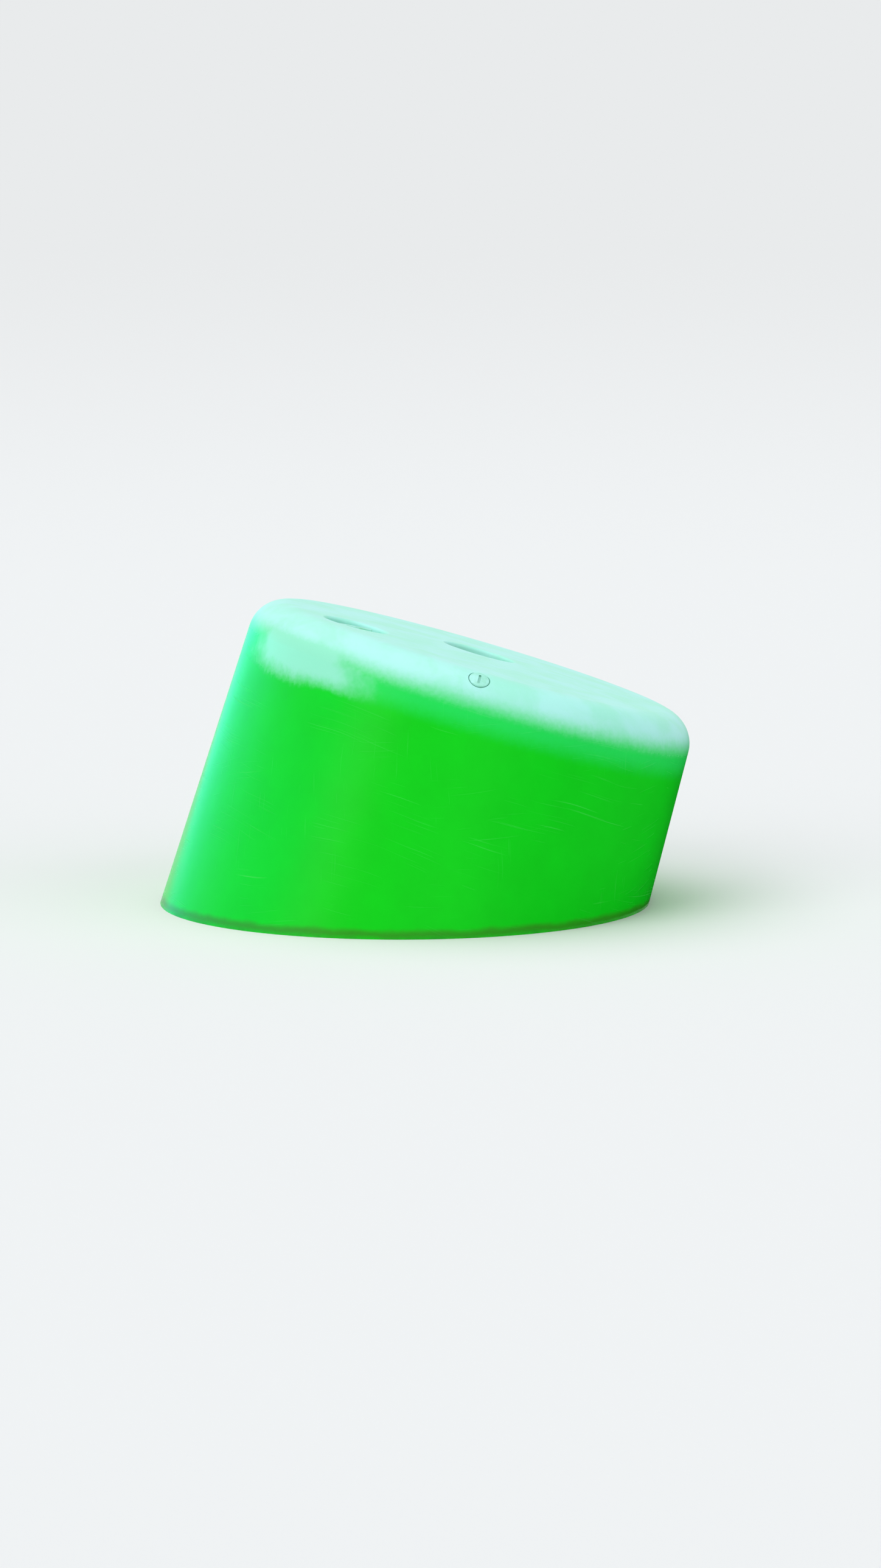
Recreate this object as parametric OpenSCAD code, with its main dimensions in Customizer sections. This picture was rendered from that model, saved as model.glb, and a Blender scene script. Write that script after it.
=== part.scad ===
// Drum-shaped marker and mooring buoy, afloat and heeled, with its bar, swivel and shackle.
// Millimetres. The origin is where the hull's axis meets the water, and +Z is plumb.
// Hull pieces are drawn upright about the hull's own axis, and afloat() leans them over.

/* [Hull] */
// Diameter of the hull at its top shoulder
hull_d = 600; // [580:10:800]
// Height of the hull along its axis
hull_h = 560; // [520:10:700]
// Height of the crown above the water, along the axis
freeboard = 343; // [260:1:400]
// Lean of the axis from plumb, towards +X, in degrees
heel = 16.5; // [0:0.5:25]
// Radius of the top shoulder
shoulder_r = 46; // [36:2:54]
// Radius of the bottom shoulder
base_shoulder_r = 56; // [40:2:70]
// Flare of the side, from the top shoulder out to the parting line, in degrees
side_draft = 1.7; // [0.2:0.1:3]
// Draft of the hull below the parting line, in degrees
base_draft = 4; // [1:0.5:8]
// Distance of the parting line below the crown
parting_drop = 455; // [400:5:480]
// Radius of the moulding bead along the parting line
parting_bead_r = 3; // [1.5:0.5:5]
// Rise of the crown over the edge of the top
crown_h = 5; // [2:1:12]

/* [Recesses] */
// Diameter of the recess in the top
top_recess_d = 92; // [86:2:180]
// Depth of the recess in the top
top_recess_depth = 30; // [28:1:45]
// Diameter of the recess under the hull
base_recess_d = 190; // [170:5:230]
// Depth of the recess under the hull
base_recess_depth = 14; // [10:1:30]
// Radius of the rounded rims of both recesses and of the filler well
rim_round = 5; // [2:0.5:6]
// Number of stiffening grooves under the hull
groove_count = 8; // [4:1:12]
// Radius of the round cutter that shapes each groove
groove_r = 20; // [14:1:24]
// Depth of each groove
groove_depth = 9; // [5:1:12]

/* [Filler] */
// Distance of the filler well from the hull's axis
well_offset = 196; // [120:2:200]
// Direction of the filler well round the axis, in degrees from +X
well_turn = 200; // [0:5:355]
// Diameter of the filler well
well_d = 82; // [80:1:96]
// Depth of the filler well
well_depth = 14; // [12:1:24]
// Diameter of the filler cap
cap_d = 70; // [60:1:74]
// Thickness of the filler cap's flange
cap_t = 6; // [4:0.5:9]
// Diameter of the filler cap's shank
shank_d = 48; // [36:1:52]
// Length of the filler cap's shank
shank_l = 26; // [16:1:40]
// Thickness of the sealing ring under the cap
cap_seal_t = 2; // [1:0.5:4]
// Length of the cap's finger grip
grip_l = 52; // [36:1:56]
// Width of the cap's finger grip
grip_w = 11; // [8:1:16]
// Height of the cap's finger grip
grip_h = 4; // [2:0.5:8]

/* [Vent plug] */
// Direction of the vent plug round the axis, in degrees from +X
plug_turn = 259; // [0:1:359]
// Lean of the plug's seat on the top shoulder, in degrees from the hull's axis
plug_lean = 34; // [25:1:50]
// Diameter of the plug's head
plug_d = 27; // [20:1:30]
// Thickness of the plug's head
plug_t = 4; // [3:0.5:6]
// Diameter of the plug's shank
plug_shank_d = 14; // [10:1:16]
// Length of the plug's shank
plug_shank_l = 16; // [10:1:24]

/* [Bar and plates] */
// Diameter of the through-bar
bar_d = 16; // [12:1:20]
// Width across the flats of the hexagon nuts
nut_af = 24; // [24:1:30]
// Height of the plain hexagon nuts
nut_h = 13; // [10:1:18]
// Diameter of the top plate
top_plate_d = 70; // [50:1:74]
// Thickness of the top plate
top_plate_t = 5; // [3:0.5:8]
// Diameter of the bottom plate
base_plate_d = 140; // [100:5:160]
// Thickness of the bottom plate
base_plate_t = 6; // [4:0.5:10]
// Thickness of the rubber pads under both plates
pad_t = 3; // [2:0.5:5]
// Length of thread that stands out of the top nut
thread_out = 4; // [2:0.5:10]

/* [Swivel] */
// Thickness of the two wear washers
wear_washer_t = 3; // [2:0.5:5]
// Diameter of the two wear washers
wear_washer_d = 30; // [28:1:34]
// Height of the castle nut, its crown included
castle_nut_h = 17; // [15:1:22]
// Width of the castle nut's slots
castle_slot_w = 4.6; // [4.4:0.1:5.5]
// Depth of the castle nut's slots
castle_slot_depth = 5; // [4.6:0.2:6]
// Diameter of the split pins
split_pin_d = 4; // [3:0.5:4]
// Diameter of the round bar that the swivel link is forged from
link_bar_d = 14; // [12:1:18]
// Clear width inside the swivel link
link_gap = 56; // [54:1:64]
// Length of the link's straight sides
link_side = 20; // [16:1:50]
// Diameter of the link's bearing boss
boss_d = 44; // [40:1:50]
// Height of the link's bearing boss
boss_h = 22; // [18:1:28]
// Diameter of the link's lug
lug_d = 40; // [34:1:48]
// Thickness of the link's lug
lug_t = 20; // [16:1:24]

/* [Shackle] */
// Diameter of the shackle's round bar
bow_bar_d = 16; // [12:1:18]
// Width of the shackle's jaw
jaw_w = 28; // [28:1:36]
// Diameter of the shackle's pin
shackle_pin_d = 16; // [12:1:18]
// Diameter of the shackle's ears
ear_d = 36; // [32:1:44]
// Clear width inside the shackle's bow
bow_gap = 52; // [44:1:70]
// Distance from the pin to the middle of the bow
bow_drop = 62; // [56:1:90]

/* [Fits] */
// Running clearance, on the radius, of the link's bore and the shackle pin's holes
run_clear = 0.1; // [0.05:0.01:0.1]
// End float between the link and each wear washer
end_float = 0.3; // [0.3:0.1:0.8]
// Clearance, on the radius, of nuts and pads on the bar
thread_clear = 0.1; // [0.05:0.05:0.3]
// Clearance, on the radius, of plates and washers on the bar
hole_clear = 0.5; // [0.3:0.1:0.8]

/* [Hidden] */
$fn = 96;
round_fn = 32;

// Heights along the hull's axis, counted from the water
top_z = freeboard;
base_z = freeboard - hull_h;
parting_z = freeboard - parting_drop;

// The crown is one arc, and each shoulder's arc runs into the lines on its two sides
shoulder_x = hull_d / 2 - shoulder_r;
crown_r = (pow(shoulder_x, 2) + pow(crown_h, 2)) / (2 * crown_h);
crown_z = top_z - crown_r;
shoulder_z = crown_z + sqrt(pow(crown_r - shoulder_r, 2) - pow(shoulder_x, 2));
crown_turn = atan2(shoulder_z - crown_z, shoulder_x);
side_top = [shoulder_x, shoulder_z] + shoulder_r * [cos(side_draft), sin(side_draft)];
belly_r = side_top.x + (side_top.y - parting_z) * tan(side_draft);
base_shoulder_z = base_z + base_shoulder_r;
side_base_z = base_shoulder_z - base_shoulder_r * sin(base_draft);
side_base_x = belly_r - (parting_z - side_base_z) * tan(base_draft);
base_shoulder_x = side_base_x - base_shoulder_r * cos(base_draft);
parting_bead_sunk = parting_bead_r / 3;

// Grooves under the hull run out from the recess
groove_gap = 16;
groove_from = base_recess_d / 2 + groove_gap;
groove_to = base_shoulder_x - groove_r / 2;
groove_z = base_z + groove_depth - groove_r;

// Height of the crown's arc at a distance from the axis
function crown_at(x) = crown_z + sqrt(pow(crown_r, 2) - pow(x, 2));

// Seats from the floor of the top recess up and from the roof of the base recess down
recess_draft = 3;
bar_bore_r = bar_d / 2 + 1;
plate_edge = 1;
top_seat_z = top_z - top_recess_depth;
top_plate_z = top_seat_z + pad_t;
top_nut_z = top_plate_z + top_plate_t;
bar_top_z = top_nut_z + nut_h + thread_out;
recess_z = base_z + base_recess_depth;
base_plate_z = recess_z - pad_t - base_plate_t;
base_nut_z = base_plate_z - nut_h;
upper_washer_z = base_nut_z - wear_washer_t;
boss_z = upper_washer_z - end_float - boss_h / 2;
lower_washer_z = boss_z - boss_h / 2 - end_float - wear_washer_t;
castle_nut_z = lower_washer_z - castle_nut_h;
bar_end_out = 3;
bar_end_z = castle_nut_z - bar_end_out;
bar_chamfer = 1.5;
bar_pin_z = castle_nut_z + castle_slot_depth / 2;
bar_pin_l = nut_af + 10;

// The filler's axis stands square to the crown, and its heights count from the crown
well_tilt = asin(well_offset / crown_r);
well_draft = 1;
seal_z = -well_depth;
flange_z = seal_z + cap_seal_t;
seal_inset = 3;
cap_edge = 1.5;
shank_clear = 0.3;
shank_end_gap = 4;

// The plug's seat is a round flat cut into the top shoulder
plug_place = [shoulder_x, shoulder_z] + shoulder_r * [sin(plug_lean), cos(plug_lean)];
plug_seat_drop = 3.5;
plug_seat_r = plug_d / 2 + 1;
plug_edge = 1.2;

// Swivel link, drawn in the plane of X and the axis
link_r = (link_gap + link_bar_d) / 2;
link_lift = 3;
link_top_z = boss_z + link_lift - link_r;
link_low_z = link_top_z - link_side;
lug_sunk = 6;
lug_z = link_low_z - link_r - lug_sunk;
lug_edge = 2;
boss_edge = 2;

// The shackle hangs plumb from its pin
pin_place = lug_z * [sin(heel), 0, cos(heel)];
pin_hole_r = shackle_pin_d / 2 + run_clear;
leg_y = jaw_w / 2 + bow_bar_d / 2;
ear_proud = 4;
ear_t = bow_bar_d + ear_proud;
ear_edge = 1.5;
bow_r = (bow_gap + bow_bar_d) / 2;
leg_reach = norm([leg_y, bow_drop]);
leg_turn = atan2(bow_drop, leg_y) - acos(bow_r / leg_reach);
leg_end = [bow_r * cos(leg_turn), bow_r * sin(leg_turn) - bow_drop];
leg_l = norm([leg_end.x - leg_y, leg_end.y]);
leg_lean = atan2(leg_end.x - leg_y, -leg_end.y);
leg_swell = 0.4;
jaw_outer = jaw_w / 2 + ear_t;
bolt_head_h = 10;
shackle_pin_out = 9;
shackle_pin_end = jaw_outer + nut_h + shackle_pin_out;
shackle_split_y = jaw_outer + nut_h + shackle_pin_out / 2;
shackle_split_l = shackle_pin_d + 10;

hull_green = [0.0, 0.80, 0.12];
cap_green = [0.0, 0.66, 0.12];
zinc_grey = [0.62, 0.65, 0.66];
bronze = [0.62, 0.47, 0.25];
rubber_black = [0.08, 0.08, 0.09];
eps = 0.01;

// Leans what is drawn upright about the hull's axis
module afloat() rotate([0, heel, 0]) children();

// Hangs what is drawn about the shackle pin
module hanging() translate(pin_place) children();

// Slice of a disc from one angle to another, less than a half turn
module pie(r, from, to) {
    middle = (from + to) / 2;
    far = 2 * r;
    intersection() {
        circle(r = r);
        polygon([[0, 0], far * [cos(from), sin(from)], far * [cos(middle), sin(middle)],
            far * [cos(to), sin(to)]]);
    }
}

// Upright ring with a bore, its foot at z
module washer(z, d, hole_d, t)
    translate([0, 0, z]) difference() {
        cylinder(d = d, h = t);
        translate([0, 0, -1]) cylinder(d = hole_d, h = t + 2);
    }

// Upright plate with a bore and chamfered edges, its foot at z
module plate(z, d, t)
    translate([0, 0, z]) difference() {
        round_bar(d, t, plate_edge);
        translate([0, 0, -1]) cylinder(d = bar_d + 2 * hole_clear, h = t + 2);
    }

// Hexagon bar whose corners are turned off at both ends
module hexagon(af, h) {
    corner_r = af / 2 / cos(30);
    corner_cut = 1.5;
    intersection() {
        cylinder(r = corner_r, h = h, $fn = 6);
        rotate_extrude() polygon([[0, 0], [corner_r - corner_cut, 0], [corner_r, corner_cut],
            [corner_r, h - corner_cut], [corner_r - corner_cut, h], [0, h]]);
    }
}

module hexagon_nut(hole_d) difference() {
    hexagon(nut_af, nut_h);
    translate([0, 0, -1]) cylinder(d = hole_d, h = nut_h + 2);
}

// Round bar with a chamfer at each end, from z = 0 up
module round_bar(d, l, chamfer)
    rotate_extrude() polygon([[0, 0], [d / 2 - chamfer, 0], [d / 2, chamfer],
        [d / 2, l - chamfer], [d / 2 - chamfer, l], [0, l]]);

// Split pin along X with its eye at -X and its legs spread at +X
module split_pin(l) {
    eye_r = split_pin_d;
    leg_spread = 35;
    leg_out = 7;
    wire_d = split_pin_d / 2;
    rotate([0, 90, 0]) translate([0, 0, -l / 2]) cylinder(d = split_pin_d, h = l, $fn = round_fn);
    translate([-l / 2 - eye_r + wire_d / 2, 0, 0])
        rotate([90, 0, 0]) rotate_extrude($fn = round_fn)
            translate([eye_r, 0]) circle(d = wire_d, $fn = round_fn);
    for (side = [-1, 1])
        translate([l / 2 - wire_d / 2, 0, side * wire_d / 2]) rotate([0, 90 - side * leg_spread, 0])
            cylinder(d = wire_d, h = leg_out, $fn = round_fn);
}

// Half outline of the hull: a core, the crown, two shoulders and the bead
module hull_outline() {
    polygon([[0, base_z], [base_shoulder_x, base_z], [base_shoulder_x, base_shoulder_z],
        [side_base_x, side_base_z], [belly_r, parting_z], side_top, [shoulder_x, shoulder_z],
        [0, shoulder_z]]);
    intersection() {
        translate([0, crown_z]) circle(r = crown_r);
        polygon([[0, shoulder_z], [shoulder_x, shoulder_z],
            [shoulder_x, shoulder_z] + 2 * shoulder_r * [cos(crown_turn), sin(crown_turn)],
            [0, top_z + shoulder_r]]);
    }
    translate([shoulder_x, shoulder_z]) pie(shoulder_r, side_draft, crown_turn);
    translate([base_shoulder_x, base_shoulder_z]) pie(base_shoulder_r, -90, -base_draft);
    translate([belly_r - parting_bead_sunk, parting_z]) circle(r = parting_bead_r);
}

module hull() color(hull_green) afloat() difference() {
    rotate_extrude() hull_outline();
    translate([0, 0, base_z - 1]) cylinder(r = bar_bore_r, h = hull_h + 2);
    translate([0, 0, top_z]) pit(top_recess_d, top_recess_depth, recess_draft);
    translate([0, 0, base_z]) mirror([0, 0, 1])
        pit(base_recess_d, base_recess_depth, recess_draft);
    for (i = [0:groove_count - 1]) rotate([0, 0, (i + 0.5) * 360 / groove_count]) groove();
    on_crown() filler_well();
    on_shoulder() plug_seat();
}

// Round pit below z = 0, with a drafted wall and a rounded rim
module pit(d, depth, draft) rotate_extrude() {
    r = d / 2;
    above = 2 * crown_h;
    polygon([[0, -depth], [r - draft, -depth], [r, -rim_round], [r, above], [0, above]]);
    difference() {
        polygon([[r - draft, -rim_round], [r + rim_round, -rim_round],
            [r + rim_round, above], [r - draft, above]]);
        translate([r + rim_round, -rim_round]) circle(r = rim_round);
    }
}

// Half-round groove along +X with round ends
module groove() {
    translate([groove_from, 0, groove_z]) rotate([0, 90, 0])
        cylinder(r = groove_r, h = groove_to - groove_from);
    for (x = [groove_from, groove_to]) translate([x, 0, groove_z]) sphere(r = groove_r);
}

// Puts what is drawn about the filler's axis in its place on the crown
module on_crown() rotate([0, 0, well_turn]) translate([well_offset, 0, crown_at(well_offset)])
    rotate([0, well_tilt, 0]) children();

// Round well for the filler cap, with the shank's hole in its floor
module filler_well() {
    pit(well_d, well_depth, well_draft);
    translate([0, 0, seal_z - shank_l - shank_end_gap])
        cylinder(d = shank_d + 2 * shank_clear, h = shank_l + shank_end_gap + 1);
}

module filler_seal() color(rubber_black) afloat() on_crown()
    washer(seal_z, cap_d - 2 * seal_inset, shank_d + 2 * shank_clear, cap_seal_t);

module filler_cap() color(cap_green) afloat() on_crown() {
    translate([0, 0, flange_z]) rotate_extrude() polygon([[0, 0], [cap_d / 2, 0],
        [cap_d / 2, cap_t - cap_edge], [cap_d / 2 - cap_edge, cap_t], [0, cap_t]]);
    translate([0, 0, seal_z - shank_l]) cylinder(d = shank_d, h = shank_l + cap_seal_t + eps);
    translate([-grip_l / 2, -grip_w / 2, flange_z + cap_t - eps]) cube([grip_l, grip_w, grip_h]);
}

// Puts what is drawn about the plug's axis in its place on the top shoulder
module on_shoulder() rotate([0, 0, plug_turn]) translate([plug_place.x, 0, plug_place.y])
    rotate([0, plug_lean, 0]) children();

module plug_seat() {
    translate([0, 0, -plug_seat_drop]) cylinder(r = plug_seat_r, h = 2 * plug_seat_drop);
    translate([0, 0, -plug_seat_drop - plug_shank_l - shank_end_gap])
        cylinder(d = plug_shank_d + 2 * shank_clear, h = plug_shank_l + shank_end_gap + 1);
}

module vent_plug() color(cap_green) afloat() on_shoulder() translate([0, 0, -plug_seat_drop]) {
    rotate_extrude() polygon([[0, 0], [plug_d / 2, 0], [plug_d / 2, plug_t - plug_edge],
        [plug_d / 2 - plug_edge, plug_t], [0, plug_t]]);
    translate([0, 0, -plug_shank_l]) cylinder(d = plug_shank_d, h = plug_shank_l + eps);
}

module top_pad() color(rubber_black) afloat()
    washer(top_seat_z, top_plate_d, bar_d + 2 * thread_clear, pad_t);

module top_plate() color(zinc_grey) afloat()
    plate(top_plate_z, top_plate_d, top_plate_t);

module top_nut() color(zinc_grey) afloat()
    translate([0, 0, top_nut_z]) hexagon_nut(bar_d + 2 * thread_clear);

module through_bar() color(zinc_grey) afloat() difference() {
    translate([0, 0, bar_end_z]) round_bar(bar_d, bar_top_z - bar_end_z, bar_chamfer);
    translate([-bar_d, 0, bar_pin_z]) rotate([0, 90, 0])
        cylinder(d = split_pin_d + 2 * run_clear, h = 2 * bar_d);
}

module base_pad() color(rubber_black) afloat()
    washer(recess_z - pad_t, base_plate_d, bar_d + 2 * thread_clear, pad_t);

module base_plate() color(zinc_grey) afloat()
    plate(base_plate_z, base_plate_d, base_plate_t);

module base_nut() color(zinc_grey) afloat()
    translate([0, 0, base_nut_z]) hexagon_nut(bar_d + 2 * thread_clear);

module upper_wear_washer() color(bronze) afloat()
    washer(upper_washer_z, wear_washer_d, bar_d + 2 * hole_clear, wear_washer_t);

module lower_wear_washer() color(bronze) afloat()
    washer(lower_washer_z, wear_washer_d, bar_d + 2 * hole_clear, wear_washer_t);

module castle_nut() color(zinc_grey) afloat() translate([0, 0, castle_nut_z]) difference() {
    hexagon(nut_af, castle_nut_h);
    translate([0, 0, -1]) cylinder(d = bar_d + 2 * thread_clear, h = castle_nut_h + 2);
    for (turn = [0, 60, 120])
        rotate([0, 0, turn]) translate([-nut_af, -castle_slot_w / 2, -1])
            cube([2 * nut_af, castle_slot_w, castle_slot_depth + 1]);
}

module bar_split_pin() color(bronze) afloat() translate([0, 0, bar_pin_z]) split_pin(bar_pin_l);

module swivel_link() color(zinc_grey) afloat() difference() {
    union() {
        translate([0, 0, boss_z - boss_h / 2]) round_bar(boss_d, boss_h, boss_edge);
        translate([0, 0, link_top_z]) link_arc();
        translate([0, 0, link_low_z]) mirror([0, 0, 1]) link_arc();
        for (side = [-1, 1])
            translate([side * link_r, 0, link_low_z]) cylinder(d = link_bar_d, h = link_side);
        translate([0, lug_t / 2, lug_z]) rotate([90, 0, 0]) round_bar(lug_d, lug_t, lug_edge);
    }
    translate([0, 0, boss_z - boss_h]) cylinder(r = bar_d / 2 + run_clear, h = 2 * boss_h);
    translate([0, lug_t, lug_z]) rotate([90, 0, 0]) cylinder(r = pin_hole_r, h = 2 * lug_t);
}

// Upper half of the link's ring
module link_arc() rotate([90, 0, 0]) rotate_extrude(angle = 180)
    translate([link_r, 0]) circle(d = link_bar_d);

module shackle_bow() color(zinc_grey) hanging() difference() {
    union() {
        translate([0, 0, -bow_drop]) rotate([90, 0, 90]) rotate([0, 0, 180 - leg_turn])
            rotate_extrude(angle = 180 + 2 * leg_turn) translate([bow_r, 0]) circle(d = bow_bar_d);
        for (side = [-1, 1]) {
            translate([0, side * leg_y, 0]) rotate([180 + side * leg_lean, 0, 0])
                cylinder(d = bow_bar_d, h = leg_l);
            translate([0, side * leg_end.x, leg_end.y]) sphere(d = bow_bar_d + leg_swell);
            translate([0, side * (jaw_outer - ear_t / 2) + ear_t / 2, 0]) rotate([90, 0, 0])
                round_bar(ear_d, ear_t, ear_edge);
        }
    }
    cube([2 * ear_d, jaw_w, ear_d], center = true);
    translate([0, 2 * jaw_outer, 0]) rotate([90, 0, 0]) cylinder(r = pin_hole_r, h = 4 * jaw_outer);
}

module shackle_pin() color(zinc_grey) hanging() difference() {
    union() {
        translate([0, shackle_pin_end, 0]) rotate([90, 0, 0])
            round_bar(shackle_pin_d, shackle_pin_end + jaw_outer + bolt_head_h / 2, bar_chamfer);
        translate([0, -jaw_outer, 0]) rotate([90, 0, 0]) hexagon(nut_af, bolt_head_h);
    }
    translate([-shackle_pin_d, shackle_split_y, 0]) rotate([0, 90, 0])
        cylinder(d = split_pin_d + 2 * run_clear, h = 2 * shackle_pin_d);
}

module shackle_nut() color(zinc_grey) hanging()
    translate([0, jaw_outer + nut_h, 0]) rotate([90, 0, 0])
        hexagon_nut(shackle_pin_d + 2 * thread_clear);

module shackle_split_pin() color(bronze) hanging()
    translate([0, shackle_split_y, 0]) rotate([90, 0, 0]) split_pin(shackle_split_l);

hull();
filler_seal();
filler_cap();
vent_plug();
top_pad();
top_plate();
top_nut();
through_bar();
base_pad();
base_plate();
base_nut();
upper_wear_washer();
lower_wear_washer();
castle_nut();
bar_split_pin();
swivel_link();
shackle_bow();
shackle_pin();
shackle_nut();
shackle_split_pin();
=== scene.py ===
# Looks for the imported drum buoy: its finishes, moulded and threaded pieces, floor, lights, camera
import math

import bpy
import bmesh
from mathutils import Matrix, Vector


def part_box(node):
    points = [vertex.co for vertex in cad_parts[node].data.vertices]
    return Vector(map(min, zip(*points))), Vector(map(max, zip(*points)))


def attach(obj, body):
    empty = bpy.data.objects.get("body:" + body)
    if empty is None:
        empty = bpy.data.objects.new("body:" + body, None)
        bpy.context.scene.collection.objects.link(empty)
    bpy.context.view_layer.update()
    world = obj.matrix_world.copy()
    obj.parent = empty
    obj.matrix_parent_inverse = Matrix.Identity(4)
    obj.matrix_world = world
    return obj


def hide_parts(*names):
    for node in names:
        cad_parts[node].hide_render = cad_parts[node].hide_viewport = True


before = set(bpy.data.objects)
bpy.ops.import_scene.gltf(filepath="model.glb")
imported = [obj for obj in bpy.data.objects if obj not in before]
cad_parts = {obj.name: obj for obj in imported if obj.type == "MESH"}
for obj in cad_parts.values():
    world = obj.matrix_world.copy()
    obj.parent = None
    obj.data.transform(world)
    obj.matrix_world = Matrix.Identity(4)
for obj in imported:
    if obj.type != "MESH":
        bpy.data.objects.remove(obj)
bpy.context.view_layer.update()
print("frame loaded:", len(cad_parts), "nodes")

mm = 0.001

# What the pieces and the patterns are set out from, as in the part's source
hull = {
    "lean": math.radians(16.5),  # of the axis towards +X
    "crown": 343 * mm,  # height of the top along the axis
    "crownArc": 6454.1 * mm,  # radius of the shallow dome on top
    "radius": 300 * mm,
    "shoulder": 46 * mm,  # radius of the top shoulder's arc
    "shoulderOut": 254 * mm,  # distance of that arc's centre from the axis
}
leanOver = Matrix.Rotation(hull["lean"], 4, "Y")
crownCentre = hull["crown"] - hull["crownArc"]

# Places of the four colour sockets of a Mix node, whose names its other types share
mixFactor, mixFirst, mixSecond, mixResult = 0, 6, 7, 2


def linear(hexColour):
    # sRGB hex to the linear values that shaders want
    parts = [int(hexColour[i:i + 2], 16) / 255 for i in (1, 3, 5)]
    return [c / 12.92 if c <= 0.04045 else ((c + 0.055) / 1.055) ** 2.4 for c in parts] + [1.0]


def addNode(tree, kind, inputs=None, **settings):
    # One node with its settings. An input is a value, a socket, or a node for its first socket.
    node = tree.nodes.new(kind)
    for name, value in settings.items():
        setattr(node, name, value)
    for socket, value in (inputs or {}).items():
        if isinstance(value, bpy.types.Node):
            value = value.outputs[0]
        if isinstance(value, bpy.types.NodeSocket):
            tree.links.new(value, node.inputs[socket])
        else:
            node.inputs[socket].default_value = value
    return node


def clearedTree(owner):
    # Empty node tree of a material or of the world
    owner.use_nodes = True
    owner.node_tree.nodes.clear()
    return owner.node_tree


def newMaterial(name):
    material = bpy.data.materials.new(name)
    return material, clearedTree(material)


def finishMaterial(tree, colour, coats, shaderInputs):
    # Lays each coat over the colour through its mask, then feeds the shader
    for mask, coat in coats:
        mixed = addNode(tree, "ShaderNodeMix",
                        {mixFactor: mask, mixFirst: colour, mixSecond: coat}, data_type="RGBA")
        colour = mixed.outputs[mixResult]
    shader = addNode(tree, "ShaderNodeBsdfPrincipled", {"Base Color": colour, **shaderInputs})
    addNode(tree, "ShaderNodeOutputMaterial", {"Surface": shader})


def uprightPlace(tree):
    # Object coordinates, the same turned upright about the hull's axis, and those split
    place = addNode(tree, "ShaderNodeTexCoord").outputs["Object"]
    upright = addNode(tree, "ShaderNodeVectorRotate", {"Vector": place, "Angle": -hull["lean"]},
                      rotation_type="Y_AXIS")
    return place, upright, addNode(tree, "ShaderNodeSeparateXYZ", {"Vector": upright})


def dress(nodeNames, material):
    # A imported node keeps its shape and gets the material
    for name in nodeNames:
        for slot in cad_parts[name].material_slots:
            slot.material = material


# Polyethylene chalked by the sun with a painted sky sheen on top, painted light and painted shade
# in its pits, and filmed by water below. Both green mouldings share this: the hull is rotomoulded
# and glossy, its caps are injection moulded.
sunWaterAndLight = {
    # chalk and painted sheen of the sky, pale cyan
    "chalkSheen": "#B3F4EE",
    "chalkSheenTop": 0.97,  # how strong the chalk and painted sheen on the top are
    "chalkSheenPatch": 70 * mm,  # width of one patch where it is thicker or thinner
    "chalkSheenThin": 0.84,  # how much of it is left in its thin patches
    "chalkSheenFrom": -58 * mm,  # from the crown down: all green below this
    "chalkSheenTo": -24 * mm,  # and all chalk and painted sheen above this
    "ragged": 9 * mm,  # how uneven that edge is
    "insideRadius": 245 * mm,  # nearer the axis, the pit walls get painted light down to their floors
    "insideEdge": 4 * mm,  # half the width over which that starts
    "pitLightFrom": 4 * mm,  # depth at which the painted light in a pit starts to thin
    "pitLightTo": 45 * mm,  # depth at which it is thinnest
    "pitLight": 0.72,  # how much of it is left there
    "pitDepth": 70 * mm,  # deeper than any pit: past it lie the bore and the underside
    # painted shade in the pits and corners
    "paintedShade": "#4B7A5C",
    "shadeFrom": 5 * mm,  # depth in a pit at which the painted shade starts
    "shadeTo": 27 * mm,
    "shadeStrength": 0.85,
    "wave": 12 * mm,  # how uneven the water's line is
    "film": "#1F6B22",
    "filmFrom": 2 * mm,  # height over the water at which the film starts
    "filmTo": -14 * mm,
    "filmStrength": 0.8,
    "filmClump": 38 * mm,  # width of one clump of it
    "slime": "#3E5A1E",
    "slimeBand": 9 * mm,
    "slimeStrength": 0.55,
}


def depthInPits(tree, xyz):
    # Distance from the hull's axis, and depth under the dome of the crown
    flat = addNode(tree, "ShaderNodeCombineXYZ", {"X": xyz.outputs["X"], "Y": xyz.outputs["Y"]})
    outFrom = addNode(tree, "ShaderNodeVectorMath", {0: flat}, operation="LENGTH").outputs["Value"]
    squared = addNode(tree, "ShaderNodeMath", {0: outFrom, 1: outFrom}, operation="MULTIPLY")
    fall = addNode(tree, "ShaderNodeMath", {0: squared, 1: 1 / (2 * hull["crownArc"])},
                   operation="MULTIPLY")
    under = addNode(tree, "ShaderNodeMath", {0: hull["crown"], 1: xyz.outputs["Z"]},
                    operation="SUBTRACT")
    return outFrom, addNode(tree, "ShaderNodeMath", {0: under, 1: fall}, operation="SUBTRACT")


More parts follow.
